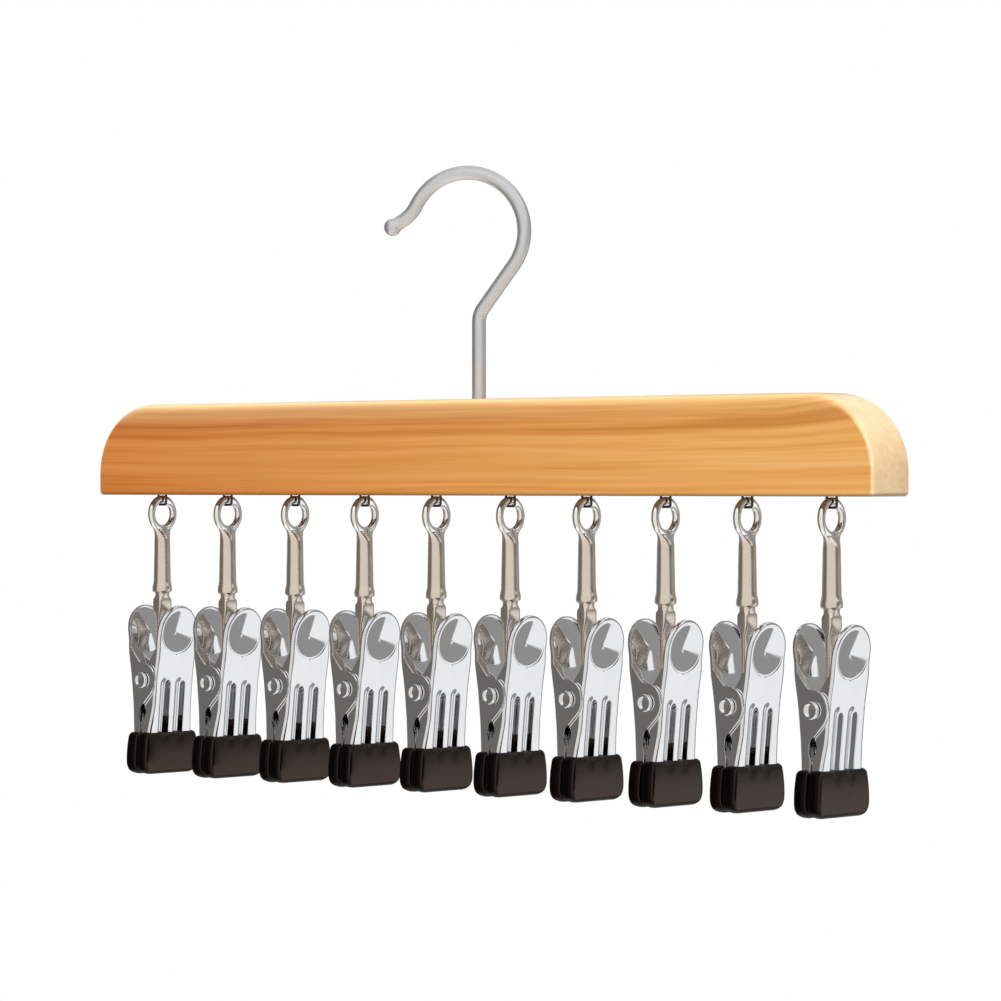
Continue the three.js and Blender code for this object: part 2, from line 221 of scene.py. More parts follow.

# %% Painted highlight on the top edge
# Painted highlight: the top edge and upward faces are painted paler where light from above falls on them,
# more so at the left end.
LIT_TOP_TONES = ("#F6D69A", "#FCE1A8")
TOP_EDGE = {"From Min": -85.5 * MM, "From Max": -76.5 * MM, "To Max": 0.6}
TURNED = {"From Min": 0.15, "From Max": 0.75}  # from the front face to well round the edge
facing = add(tree, "ShaderNodeSeparateXYZ", {0: spot.node.outputs["Normal"]}).outputs
top_fade = add(tree, "ShaderNodeMapRange", {"Value": axis["X"], **ALONG_BAR, "To Min": 0.78, "To Max": 0.32})
near_edge = add(
    tree, "ShaderNodeMapRange", {"Value": axis["Z"], **TOP_EDGE}, interpolation_type="SMOOTHSTEP"
)
upward = add(tree, "ShaderNodeMapRange", {"Value": facing["Z"], **TURNED})
topmost = add(tree, "ShaderNodeMath", {0: upward.outputs[0], 1: near_edge.outputs[0]}, operation="MAXIMUM")
lit_top_share = add(
    tree, "ShaderNodeMath", {0: topmost.outputs[0], 1: top_fade.outputs[0]}, operation="MULTIPLY"
)
lit_top_tone = add(
    tree,
    "ShaderNodeMix",
    {"Factor": spread.outputs[0], "A": linear(LIT_TOP_TONES[0]), "B": linear(LIT_TOP_TONES[1])},
    data_type="RGBA",
)
lit_top_mix = add(
    tree,
    "ShaderNodeMix",
    {"Factor": lit_top_share.outputs[0], "A": toned.outputs["Result"], "B": lit_top_tone.outputs["Result"]},
    data_type="RGBA",
)
print("top edge tones:", LIT_TOP_TONES)

# %% Painted highlight on the ends, and sheen
# Painted highlight: faces turned endways are painted paler, for the light that falls on the end at the right.
LIT_END_TONES = ("#F7D6A6", "#FDE2B7")
endways = add(tree, "ShaderNodeMath", {0: facing["X"]}, operation="ABSOLUTE")
lit_end_share = add(tree, "ShaderNodeMapRange", {"Value": endways.outputs[0], **TURNED, "To Max": 0.75})
lit_end_tone = add(
    tree,
    "ShaderNodeMix",
    {"Factor": spread.outputs[0], "A": linear(LIT_END_TONES[0]), "B": linear(LIT_END_TONES[1])},
    data_type="RGBA",
)
lit_ends = add(
    tree,
    "ShaderNodeMix",
    {"Factor": lit_end_share.outputs[0], "A": lit_top_mix.outputs["Result"], "B": lit_end_tone.outputs["Result"]},
    data_type="RGBA",
)
sheen = add(tree, "ShaderNodeMapRange", {"Value": grain["fibres"], "To Min": 0.38, "To Max": 0.55})
ridges = add(tree, "ShaderNodeBump", {"Height": grain["fibres"], "Strength": 0.12, "Distance": 0.2 * MM})
tree.links.new(lit_ends.outputs["Result"], shader.inputs["Base Color"])
tree.links.new(sheen.outputs[0], shader.inputs["Roughness"])
tree.links.new(ridges.outputs["Normal"], shader.inputs["Normal"])
print("finish:", pine.name, "with", len(tree.nodes), "nodes")

# %% [markdown]
# ## Making meshes from rows of points
# Bent wire, turned rivets and pressed sheet can all be described as rows of points with a skin drawn between
# them. That gives an even mesh of four-sided faces that shades cleanly. All sizes are in millimetres.


# %% Skin and mesh
def skin(rows, wrap=False):
    """Four-sided faces between rows of equal length, closed round each row and capped at both ends."""
    count = len(rows[0])
    points = [point for row in rows for point in row]
    faces = []
    for i in range(len(rows) if wrap else len(rows) - 1):
        here, there = i * count, (i + 1) % len(rows) * count
        for k in range(count):
            n = (k + 1) % count
            faces.append((here + k, here + n, there + n, there + k))
    if not wrap:
        faces.append(tuple(range(count)))
        faces.append(tuple(range(len(points) - count, len(points))))
    return points, faces


def smooth(mesh, crease):
    mesh.shade_smooth()
    mesh.set_sharp_from_angle(angle=math.radians(crease))


def mesh_of(name, points, faces, crease=38):
    """A mesh in metres, its faces turned outward, smooth except at edges sharper than the crease angle."""
    mesh = bpy.data.meshes.new(name)
    mesh.from_pydata([Vector(point) * MM for point in points], [], faces)
    form = bmesh.new()
    form.from_mesh(mesh)
    bmesh.ops.remove_doubles(form, verts=form.verts, dist=1e-6)
    bmesh.ops.recalc_face_normals(form, faces=form.faces)
    form.to_mesh(mesh)
    form.free()
    smooth(mesh, crease)
    return mesh


print("faces on a skin over two rows of four points:", len(skin([[0] * 4] * 2)[1]))


# %% Work on the bench, and putting a piece in its place
def worked(mesh, steps, crease=38):
    """The mesh after a list of (modifier kind, settings), kept as a plain mesh."""
    bench = bpy.data.objects.new("bench", mesh)
    bpy.context.scene.collection.objects.link(bench)
    tools = []
    for kind, settings in steps:
        step = bench.modifiers.new(kind, kind)
        for key, value in settings.items():
            if key == "object":
                value = bpy.data.objects.new("tool", value)
                bpy.context.scene.collection.objects.link(value)
                tools.append(value)
            setattr(step, key, value)
    view = bpy.context.evaluated_depsgraph_get()
    result = bpy.data.meshes.new_from_object(bench.evaluated_get(view))
    for helper in [bench, *tools]:
        bpy.data.objects.remove(helper)
    result.name = mesh.name
    smooth(result, crease)
    return result


def put(name, mesh, finish, slot, body, *nodes, place=(0, 0, 0)):
    """A piece in its place and finish, riding on a body, instead of the nodes that it stands for."""
    if not mesh.materials:
        mesh.materials.append(finish)
    piece = bpy.data.objects.new(name, mesh)
    piece.location = Vector(place) * MM
    bpy.context.scene.collection.objects.link(piece)
    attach(piece, body)
    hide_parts(*nodes)
    return piece


# %% [markdown]
# ## The bar
# The real bar is cut from a board, its top corners are sawn to a large round and its edges are run past a
# rounding cutter. A bevel would round every edge alike. Here the front outline is offset inward step by step
# instead, with a wide rounding along the top and a tighter one at the ends and the underside. The drilled
# hole and the pocket for the nut are cut afterwards.

# %% Outline of the bar
BAR = {"length": 360, "height": 33.5, "depth": 20, "corner": 26, "foot": 1.6, "offset": -2.8}
BAR_TOP = -75.830
UNDERSIDE = BAR_TOP - BAR["height"]


def arc(centre, radius, start, end, steps):
    """Points of a circular arc in a plane, from one angle to another in degrees."""
    turns = [math.radians(start + (end - start) * i / steps) for i in range(steps + 1)]
    return [(centre[0] + radius * math.cos(t), centre[1] + radius * math.sin(t)) for t in turns]


def bar_outline():
    """The bar's front outline, with the direction that points outward at each point."""
    side, foot = BAR["length"] / 2, BAR["foot"]
    reach, arch, low = side - BAR["corner"], BAR_TOP - BAR["corner"], UNDERSIDE + foot
    outline = arc((side - foot, low), foot, -90, 0, 6)
    outline += arc((reach, arch), BAR["corner"], 0, 90, 28)
    outline += [(x, BAR_TOP) for x in range(int(reach) - 6, -int(reach), -8)]
    outline += arc((-reach, arch), BAR["corner"], 90, 180, 28)
    outline += arc((foot - side, low), foot, 180, 270, 6)
    outline += [(x, UNDERSIDE) for x in range(int(-side) + 10, int(side) - 4, 8)]
    ring = []
    for i, (x, z) in enumerate(outline):
        before, after = Vector(outline[i - 1]), Vector(outline[(i + 1) % len(outline)])
        ahead = (after - before).normalized()
        ring.append((Vector((x, z)), Vector((ahead.y, -ahead.x))))
    return ring


ring = bar_outline()
print("points round the bar:", len(ring))

# %% Bar
ROUNDING = {"top": 3.2, "end": 1.2}
FACE_INSET = 0.3
EDGE_TURNS = [90, 75, 60, 45, 30, 15, 0]
BORE = {"hook": 2.8, "pocket": 6.4, "pocket_depth": 8, "past": 5}


def bar_row(turn, side, inset=0.0):
    """One loop round the bar: turn 0 lies on the edge face, turn 90 on the front or back."""
    row = []
    for point, out in ring:
        radius = ROUNDING["end"] + (ROUNDING["top"] - ROUNDING["end"]) * max(0.0, out.y) ** 4
        place = point - out * (radius * (1 - math.cos(math.radians(turn))) + inset)
        depth = BAR["depth"] / 2 - radius * (1 - math.sin(math.radians(turn)))
        row.append((BAR["offset"] + place.x, side * depth, place.y))
    return row


def drum(radius, low, high, sides=48):
    """A plain round tool for drilling, upright on the swivel axis."""
    rows = [[(x, y, z) for x, y in arc((0, 0), radius, 0, 360, sides)[:-1]] for z in (low, high)]
    return mesh_of("drill", *skin(rows))


rows = [bar_row(90, 1, FACE_INSET)] + [bar_row(turn, 1) for turn in EDGE_TURNS]
rows += [bar_row(turn, -1) for turn in reversed(EDGE_TURNS)] + [bar_row(90, -1, FACE_INSET)]
drill = drum(BORE["hook"], UNDERSIDE - BORE["past"], BAR_TOP + BORE["past"])
pocket = drum(BORE["pocket"], UNDERSIDE - BORE["past"], UNDERSIDE + BORE["pocket_depth"])
cuts = [
    ("BOOLEAN", {"object": tool, "operation": "DIFFERENCE", "solver": "EXACT"}) for tool in (drill, pocket)
]
bar_mesh = worked(mesh_of("bar_wood", *skin(rows)), cuts)
put("bar_wood", bar_mesh, pine, "pine", "bar", "bar")
print("bar faces:", len(bar_mesh.polygons))

# %% [markdown]
# ## Metals
# The hook wire is zinc plated, the links are nickel plated, the clips are chromed and the springs are left as
# drawn wire. The staples are nearly black, which is partly painted shade, and the rings carry a painted
# highlight. A photo of metal would carry its own reflections, so each one is otherwise only a colour and a
# polish, and the studio does the rest. They share one recipe: a cloudy haze in the roughness, and a shallow
# ripple so that reflections wander a little.


# %% Plated metals
def plated(name, colour, shade, smoothness, cloud_mm, ripple):
    """A plated metal: its colour drifts between two tones and its roughness between two values."""
    finish, tree, shader, spot = new_finish(name, metallic=1.0)
    cloud = add(tree, "ShaderNodeTexNoise", {"Vector": spot, "Scale": 1 / (cloud_mm * MM), "Detail": 4.0})
    fog = cloud.outputs["Fac"]
    tint = add(
        tree,
        "ShaderNodeMix",
        {"Factor": fog, "A": linear(colour), "B": linear(shade)},
        data_type="RGBA",
    )
    haze = add(tree, "ShaderNodeMapRange", {"Value": fog, "To Min": smoothness[0], "To Max": smoothness[1]})
    wave = add(tree, "ShaderNodeBump", {"Height": fog, "Strength": ripple, "Distance": 0.2 * MM})
    tree.links.new(tint.outputs["Result"], shader.inputs["Base Color"])
    tree.links.new(haze.outputs[0], shader.inputs["Roughness"])
    tree.links.new(wave.outputs["Normal"], shader.inputs["Normal"])
    return finish


# Zinc is pale grey and dull: the wire shows one soft highlight and no picture of the room.
zinc = plated("zinc_plated_drawn_wire", "#E1E3E6", "#D6D8DB", (0.42, 0.5), 2.0, 0.03)
# Nickel is warmer: blurred reflections with a yellowish cast.
nickel = plated("nickel_plated_stamping", "#EAE0D4", "#E0D6CA", (0.2, 0.27), 4.0, 0.04)
# Chrome is a clear mirror with a faint polishing haze.
chrome = plated("chromed_pressed_steel", "#EDEEF0", "#E2E3E6", (0.04, 0.09), 9.0, 0.02)
# Bare drawn wire is a darker grey with a silky shine.
spring_steel = plated("drawn_spring_steel", "#A8ABAF", "#8E9196", (0.25, 0.35), 1.0, 0.05)
# The staple wire is nearly black, which is partly painted shade from the bar above, so each staple is a dark
# spot above its ring.
staple_steel_and_shade = plated("staple_wire_and_painted_shade", "#5A5148", "#443C35", (0.3, 0.4), 1.0, 0.05)
print("finishes:", zinc.name, nickel.name, chrome.name, spring_steel.name, staple_steel_and_shade.name)

# %% [markdown]
# ## Brighter rings
# The ring at the top of each link is painted a near white tint and given a smoother polish. The white tint is
# a painted highlight for the bright reflections on the rings. That could be a second material, but then it
# would end at a hard line. A short blend by height keeps one finish.

# %% Painted highlight on the nickel rings
# Painted highlight: above the blend the link is near white, for the bright reflections on its ring.
RING_HIGHLIGHT = {"from": -15.5, "to": -12.5, "tone": "#FBFAF8", "roughness": 0.1}
tree = nickel.node_tree
shader = tree.nodes["Principled BSDF"]
plain_tint = shader.inputs["Base Color"].links[0].from_socket
plain_haze = shader.inputs["Roughness"].links[0].from_socket
spot = add(tree, "ShaderNodeTexCoord").outputs["Object"]
height = add(tree, "ShaderNodeSeparateXYZ", {0: spot}).outputs["Z"]
highlighted = add(
    tree,
    "ShaderNodeMapRange",
    {"Value": height, "From Min": RING_HIGHLIGHT["from"] * MM, "From Max": RING_HIGHLIGHT["to"] * MM},
).outputs[0]
bright = add(
    tree,
    "ShaderNodeMix",
    {"Factor": highlighted, "A": plain_tint, "B": linear(RING_HIGHLIGHT["tone"])},
    data_type="RGBA",
)
polish = add(
    tree, "ShaderNodeMapRange", {"Value": highlighted, "To Min": plain_haze, "To Max": RING_HIGHLIGHT["roughness"]}
)
tree.links.new(bright.outputs["Result"], shader.inputs["Base Color"])
tree.links.new(polish.outputs[0], shader.inputs["Roughness"])
print("rings are rubbed down to a depth of mm:", -RING_HIGHLIGHT["from"])

# %% [markdown]
# ## The hook
# The hook is one length of wire: straight through the bar, bent once to the side, then wound over a round
# former and flared at the end, where it is upset into a ball. A curve with a bevel could make the wire, but
# not the ball. One path of rings gives all of it, and the ball is the place where the rings grow.

# %% Path of the wire
HOOK_YAW = math.radians(28)
WIRE = {"radius": 2.45, "ball": 3.05, "chamfer": 0.4}
CROWN = {"radius": 20.5, "above": 58.3, "aside": -4.3, "start": -36, "end": 153}
BEND = {"radius": 8, "above": 29.5}
FLARE = {"radius": 13, "turn": 33, "run": 4}
SHANK_END = 1.6

run = BEND["radius"] * math.tan(math.radians(-CROWN["start"] / 2))
crown = arc((CROWN["aside"], CROWN["above"]), CROWN["radius"], CROWN["start"], CROWN["end"], 90)
end, out = crown[-1], math.radians(CROWN["end"])
flare_centre = (end[0] + FLARE["radius"] * math.cos(out), end[1] + FLARE["radius"] * math.sin(out))
flare_start = CROWN["end"] - 180
flare = arc(flare_centre, FLARE["radius"], flare_start, flare_start - FLARE["turn"], 18)
stem_foot = -BAR["height"] + SHANK_END
stem_top = BEND["above"] - run
stem = [(0, stem_foot), (0, stem_foot + WIRE["chamfer"]), (0, 0.0), (0, stem_top - 0.5)]
bend = arc((BEND["radius"], stem_top), BEND["radius"], 180, 180 + CROWN["start"], 16)
wire_line = [Vector(point) for point in stem + bend + crown[1:] + flare[1:]]
print("points along the wire:", len(wire_line))

# %% Hook
BALL_STEPS = 14


def tube(path, radii, sides=16):
    """Rings of points round a path, each ring turned from the one before without twisting."""
    path = [Vector(point) for point in path]
    across = Vector((0.31, 0.95, 0.02))  # any direction that no path starts along
    rows = []
    for i, (centre, radius) in enumerate(zip(path, radii)):
        ahead = (path[min(i + 1, len(path) - 1)] - path[max(i - 1, 0)]).normalized()
        across = (across - ahead * across.dot(ahead)).normalized()
        up = ahead.cross(across)
        turns = [2 * math.pi * k / sides for k in range(sides)]
        rows.append([centre + (across * math.cos(t) + up * math.sin(t)) * radius for t in turns])
    return rows


ahead = (wire_line[-1] - wire_line[-2]).normalized()
ball_centre = wire_line[-1] + ahead * FLARE["run"]
neck = math.asin(WIRE["radius"] / WIRE["ball"]) - math.pi / 2
ball_turns = [neck + (math.pi / 2 - neck) * k / BALL_STEPS for k in range(BALL_STEPS + 1)]
path = wire_line + [ball_centre + ahead * (WIRE["ball"] * math.sin(t)) for t in ball_turns]
radii = [WIRE["radius"]] * len(wire_line) + [max(0.02, WIRE["ball"] * math.cos(t)) for t in ball_turns]
radii[0] = WIRE["radius"] - WIRE["chamfer"]
yawed = [(p.x * math.cos(HOOK_YAW), p.x * math.sin(HOOK_YAW), BAR_TOP + p.y) for p in path]
hook_mesh = mesh_of("hook_wire", *skin(tube(yawed, radii, 32)))
put("hook_wire", hook_mesh, zinc, "zinc_wire", "hook", "hook")
print("hook height in mm:", round(max(p[2] for p in yawed) - UNDERSIDE, 1))

# %% [markdown]
# ## Washer and nut
# Under the bar a washer and a nut hold the hook's end in the pocket, and the hook turns on them. Both are
# turned from a profile with broken edges. The nut is the same kind of ring with only six sides.

# %% Washer and nut
PLAY = 0.3
WASHER = {"outer": 5.6, "thick": 1, "across": 0.25, "down": 0.2}
NUT = {"outer": 4 / math.cos(math.pi / 6), "thick": 3.4, "across": 0.5, "down": 0.4}


def turned_ring(name, size, top, sides):
    """A ring about the swivel axis with a bore for the hook and with its outer edges broken."""
    bore, outer, low = BORE["hook"], size["outer"], top - size["thick"]
    profile = [(bore, top), (outer - size["across"], top), (outer, top - size["down"])]
    profile += [(outer, low + size["down"]), (outer - size["across"], low), (bore, low)]
    turns = [HOOK_YAW + 2 * math.pi * k / sides for k in range(sides)]
    rows = [[(r * math.cos(t), r * math.sin(t), z) for r, z in profile] for t in turns]
    return mesh_of(name, *skin(rows, wrap=True))


washer_top = UNDERSIDE + BORE["pocket_depth"] - PLAY
nut_top = washer_top - WASHER["thick"] - PLAY
washer = turned_ring("hook_washer_disc", WASHER, washer_top, 48)
nut = turned_ring("hook_nut_hexagon", NUT, nut_top, 6)
put("hook_washer_disc", washer, zinc, "zinc_wire", "hook", "hook_washer")
put("hook_nut_hexagon", nut, zinc, "zinc_wire", "hook", "hook_nut")
print("nut clears the pocket's mouth by mm:", round(nut_top - NUT["thick"] - UNDERSIDE, 2))

# %% [markdown]
# ## Staples
# Each clip hangs from a small wire staple driven into the underside. A staple is only a bent wire, so it is a
# tube along straight runs with short bends. All ten are made as one piece that rides on the bar.

# %% Staples
CLIP_COUNT, CLIP_PITCH = 10, 34.7
STAPLE = {"wire": 0.45, "crown": 3.62, "span": 2.0, "bend": 0.7, "driven": 2.2}
first_clip = BAR["offset"] - (CLIP_COUNT - 1) / 2 * CLIP_PITCH
clip_places = [(first_clip + i * CLIP_PITCH, 0, UNDERSIDE) for i in range(CLIP_COUNT)]

bend_centre = (STAPLE["span"] - STAPLE["bend"], STAPLE["bend"] - STAPLE["crown"])
half_staple = [(STAPLE["span"], STAPLE["driven"])] + arc(bend_centre, STAPLE["bend"], 0, -90, 6)
staple_line = half_staple + [(-x, z) for x, z in reversed(half_staple)]
staple_radii = [STAPLE["wire"]] * len(staple_line)
points, faces = [], []
for place in clip_places:
    more, skins = skin(tube([(place[0] + x, 0, UNDERSIDE + z) for x, z in staple_line], staple_radii, 12))
    faces += [tuple(k + len(points) for k in face) for face in skins]
    points += more
put("staples", mesh_of("staples", points, faces), staple_steel_and_shade, "spring_steel", "bar", "bar")
print("staples:", CLIP_COUNT)

# %% [markdown]
# ## Links
# A link is stamped from one strip of steel: a ring at the top, the strip rolled into a round barrel with a
# small skirt, then a short square collar and a flat tail that reaches down between the handles to the rivet.
# Separate blocks would show joints. The barrel and tail are one skin through rounded sections that change
# from flat to round and back, and the ring is joined on. A small notch is the seam of the rolled strip.

# %% Sections of the link
SHANK = (  # depth, half width along the bar's depth, half thickness along the bar, squareness
    (11.9, 4.7, 0.9, 3.0), (12.6, 4.3, 1.15, 2.8), (13.4, 3.8, 1.55, 2.5), (14.4, 3.35, 2.1, 2.2),
    (15.4, 3.08, 2.6, 2.05), (16.6, 2.95, 2.9, 2.0), (22.0, 3.02, 3.02, 2.0), (31.6, 3.2, 3.2, 2.0),
    (32.6, 3.3, 3.3, 2.0), (33.6, 3.52, 3.52, 2.0), (34.2, 3.66, 3.66, 2.0), (35.4, 3.7, 3.7, 2.0),
    (35.9, 3.6, 3.6, 2.0), (36.15, 3.35, 3.35, 2.0), (36.25, 2.9, 2.8, 2.2), (36.8, 2.6, 2.4, 2.4),
    (37.6, 2.55, 2.3, 2.6), (38.2, 2.8, 2.0, 4.0), (38.7, 3.05, 2.1, 6.0), (39.4, 3.15, 2.1, 8.0),
    (42.6, 3.15, 2.1, 8.0), (44.0, 2.95, 1.6, 8.0), (45.4, 2.75, 0.95, 9.0), (46.2, 2.75, 0.9, 9.0),
    (67.0, 2.75, 0.9, 9.0),
)


def rounded(width, thickness, squareness, count=48):
    """A closed loop between an ellipse (squareness 2) and a rectangle (large squareness)."""
    loop = []
    power = 2 / squareness
    for k in range(count):
        c, s = math.cos(2 * math.pi * k / count), math.sin(2 * math.pi * k / count)
        x, y = math.copysign(abs(c) ** power, c), math.copysign(abs(s) ** power, s)
        loop.append((x * width, y * thickness))
    return loop


shank_rows = [[(x, y, -depth) for y, x in rounded(*section)] for depth, *section in SHANK]
shank = mesh_of("link", *skin(shank_rows))
print("sections along a link:", len(SHANK))

# %% Link
RING = {"depth": 7.1, "middle": 5.52, "half": 1.38, "thick": 1.22, "squareness": 2.2, "steps": 72}
SEAM = {"half": 0.45, "top": 11.5, "foot": 14.6, "reach": 4}
PIVOT_DEPTH = 68.7
EYE = {"radius": 2.7, "half": 2.75, "bore": 1.8, "past": 6}


def rod(radius, half, sides=40):
    """A plain round bar along the rivet."""
    circle = arc((0, -PIVOT_DEPTH), radius, 0, 360, sides)[:-1]
    return mesh_of("rod", *skin([[(x, y, z) for x, z in circle] for y in (-half, half)]))


section = rounded(RING["half"], RING["thick"], RING["squareness"], 24)
ring_rows = []
for k in range(RING["steps"]):
    c, s = math.cos(2 * math.pi * k / RING["steps"]), math.sin(2 * math.pi * k / RING["steps"])
    loop = [(x, RING["middle"] + r) for r, x in section]
    ring_rows.append([(x, far * c, far * s - RING["depth"]) for x, far in loop])
ring_mesh = mesh_of("ring", *skin(ring_rows, wrap=True))
notch = [(-SEAM["half"], -SEAM["top"]), (SEAM["half"], -SEAM["top"]), (0, -SEAM["foot"])]
seam = mesh_of("seam", *skin([[(x, y, z) for y, z in notch] for x in (-SEAM["reach"], SEAM["reach"])]))
joins = (
    (ring_mesh, "UNION"),
    (seam, "DIFFERENCE"),
    (rod(EYE["radius"], EYE["half"]), "UNION"),
    (rod(EYE["bore"], EYE["past"]), "DIFFERENCE"),
)
link_mesh = worked(
    shank, [("BOOLEAN", {"object": tool, "operation": how, "solver": "EXACT"}) for tool, how in joins]
)
print("link faces:", len(link_mesh.polygons))

# %% [markdown]
# ## Jaws
# Each jaw is pressed from sheet steel: a round handle with a dished thumb rest, a waist, two drawn grooves
# and two folded flanks that wrap round the rivet. One flank lies outside the other jaw's and one inside, so
# the two jaws are the same stamping, turned half round. A solid block with cuts would lose the even thickness
# of the sheet. So the sheet is drawn as one open skin and then given its thickness, and every cut edge shows
# as a real edge with a tiny rounding.

# %% Side view of the web
WEB = ((41.0, 10.4), (67.0, 6.2), (88.0, 4.2), (101.0, 3.5))  # depth, distance from the middle


def line_at(rows, depth):
    """The value at a depth on straight lines between (depth, value) rows."""
    for (d0, v0), (d1, v1) in zip(rows, rows[1:]):
        if depth <= d1:
            return v0 + (v1 - v0) * (depth - d0) / (d1 - d0)
    return rows[-1][1]


def eased(rows, depth, reach):
    """The same lines with their corners rounded over a reach."""
    return sum(line_at(rows, depth + share * reach) for share in (-1, -0.6, -0.2, 0.2, 0.6, 1)) / 6


def web_at(depth):
    return eased(WEB, depth, 2.5)


print("half the clip's thickness at the rivet:", round(web_at(PIVOT_DEPTH), 2))

# %% Front view of the web
HANDLE = {"depth": 50.8, "half": 9.7, "rim": 0.5}
FLANK = {"outer": 10.4, "inner": 9.3}
FOOT = {"half": 11.0, "end": 92.0}


def half_width(depth, side):
    """Half the web's width on one side: the +Y flank lies outside the other jaw's, the -Y flank inside."""
    flank = FLANK["outer"] if side > 0 else FLANK["inner"]
    rows = (
        (40.0, HANDLE["half"]),
        (53.8, HANDLE["half"]),
        (57.5, flank),
        (78.5, flank),
        (88.0, FOOT["half"]),
        (95.0, FOOT["half"]),
    )
    return eased(rows, depth, 1.5)


print("flank to flank at the rivet:", round(half_width(PIVOT_DEPTH, 1) + half_width(PIVOT_DEPTH, -1), 2))

# %% Dish and grooves
DIMPLE = {"radius": 7.85, "sink": 1.7, "rim": 0.15, "heart": 0.8}
GROOVE = {"start": 67.6, "half": 2.9, "aside": 3.8, "sink": 0.95}


def pressed(y, depth):
    """How far the dish and the grooves are pressed in at a place on the web."""
    out = math.hypot(math.hypot(y, depth - HANDLE["depth"]), DIMPLE["heart"])
    inside = DIMPLE["radius"] - out
    dish = (inside + math.hypot(inside, DIMPLE["rim"])) / 2 * DIMPLE["sink"] / DIMPLE["radius"]
    above = max(0.0, GROOVE["start"] + GROOVE["half"] - depth)
    away = math.hypot(abs(y) - GROOVE["aside"], above) / GROOVE["half"]
    return dish + (GROOVE["sink"] * (0.5 + 0.5 * math.cos(math.pi * away)) if away < 1 else 0.0)


print("depth of the dish:", round(pressed(0, HANDLE["depth"]), 2))

# %% Cut edge of a flank
BEND_RADIUS = 1.0
EAR = {"outer": 6.5, "inner": 4.4, "from": 56.5, "arc": (78, 225)}
MOUTH = (
    (0.25, 78.0), (0.9, 79.0), (1.4, 80.6), (1.3, 82.0), (0.8, 83.6), (0.4, 85.2), (0.35, FOOT["end"]),
)  # distance from the middle, depth


def spaced(line, count):
    """Points at even steps along a line of points, with its corners softened."""
    lengths = [0.0]
    for a, b in zip(line, line[1:]):
        lengths.append(lengths[-1] + math.dist(a, b))
    even, k = [], 0
    for i in range(count + 1):
        want = lengths[-1] * i / count
        while k < len(lengths) - 2 and lengths[k + 1] < want:
            k += 1
        share = (want - lengths[k]) / (lengths[k + 1] - lengths[k])
        even.append([a + (b - a) * share for a, b in zip(line[k], line[k + 1])])
    triples = zip(even, even[1:], even[2:])
    middle = [[(a + 2 * b + c) / 4 for a, b, c in zip(*three)] for three in triples]
    return [even[0], *middle, even[-1]]


def flank_edge(ear, depths):
    """The cut edge beside each row of the web: a narrow rim, the ear round the rivet, then the mouth."""
    rim = [(web_at(d) - BEND_RADIUS - HANDLE["rim"], d) for d in depths]
    first = next(i for i, d in enumerate(depths) if d > EAR["from"])
    ear_arc = [(x, PIVOT_DEPTH - z) for x, z in arc((0, 0), ear, *EAR["arc"], 30)]
    cut = spaced([rim[first], *ear_arc, *MOUTH], len(depths) - 1 - first)
    return rim[:first] + cut


SIDE_STEPS = 56
depths = [HANDLE["depth"] + (FOOT["end"] - HANDLE["depth"]) * i / SIDE_STEPS for i in range(SIDE_STEPS + 1)]
print("points on a flank's cut edge:", len(flank_edge(EAR["outer"], depths)))

# %% Strip from the web over the bend to the cut edge
CORE = 1.4
FLANK_STEPS = 8
BEND_TURNS = (18, 36, 54, 72, 90)


def sheet_point(y, depth):
    return (web_at(depth) - pressed(y, depth), y, -depth)


def strip(out_y, out_d, d0, reach, cut=None):
    """Points outward from the web's middle line: over the bend, then down to a cut edge or a narrow rim."""
    row = [sheet_point(out_y * r, d0 + out_d * r) for r in (reach - CORE, reach - BEND_RADIUS)]
    for turn in BEND_TURNS:
        r = reach - BEND_RADIUS + BEND_RADIUS * math.sin(math.radians(turn))
        drop = BEND_RADIUS * (1 - math.cos(math.radians(turn)))
        row.append((web_at(d0 + out_d * r) - drop, out_y * r, -(d0 + out_d * r)))
    x0, y0, z0 = row[-1]
    for k in range(1, FLANK_STEPS + 1):
        share = k / FLANK_STEPS
        if cut:
            depth = -z0 + (cut[1] + z0) * share
            row.append((x0 + (cut[0] - x0) * share, out_y * half_width(depth, out_y), -depth))
        else:
            row.append((x0 - HANDLE["rim"] * share, y0, z0))
    return row


print("points across a strip:", len(strip(0, -1, HANDLE["depth"], HANDLE["half"])))

# %% Jaw sheet
SHEET = 0.8
EDGE_ROUND = 0.14
FAN_STEPS = 64
DISH_RINGS = [0.02, 0.4, 0.9, 1.6, 2.8, 4.2, 5.6, 6.7, 7.3, 7.6, 7.75, 7.9, 8.08, HANDLE["half"] - CORE]


def jaw_grids():
    """The sheet in five grids of points: two flanks, the bend over the handle, the dish and the web below."""
    for side, ear in ((-1, EAR["inner"]), (1, EAR["outer"])):
        edge = flank_edge(ear, depths)
        flank = [strip(side, 0, d, half_width(d, side), cut) for d, cut in zip(depths, edge)]
        yield flank[::side]
    fan = [math.pi - math.pi * k / FAN_STEPS for k in range(FAN_STEPS + 1)]
    yield [strip(math.cos(t), -math.sin(t), HANDLE["depth"], HANDLE["half"]) for t in fan]
    whole = [2 * math.pi * k / (2 * FAN_STEPS) for k in range(2 * FAN_STEPS + 1)]
    yield [
        [sheet_point(r * math.cos(t), HANDLE["depth"] - r * math.sin(t)) for t in whole] for r in DISH_RINGS
    ]
    below = []
    for r in range(SIDE_STEPS + 1):
        row = []
        for k in range(FAN_STEPS + 1):
            t = math.pi + math.pi * k / FAN_STEPS
            top = HANDLE["depth"] - DISH_RINGS[-1] * math.sin(t)
            depth = top + (FOOT["end"] - top) * r / SIDE_STEPS
            row.append(sheet_point(math.cos(t) * (half_width(depth, math.cos(t)) - CORE), depth))
        below.append(row)
    yield below


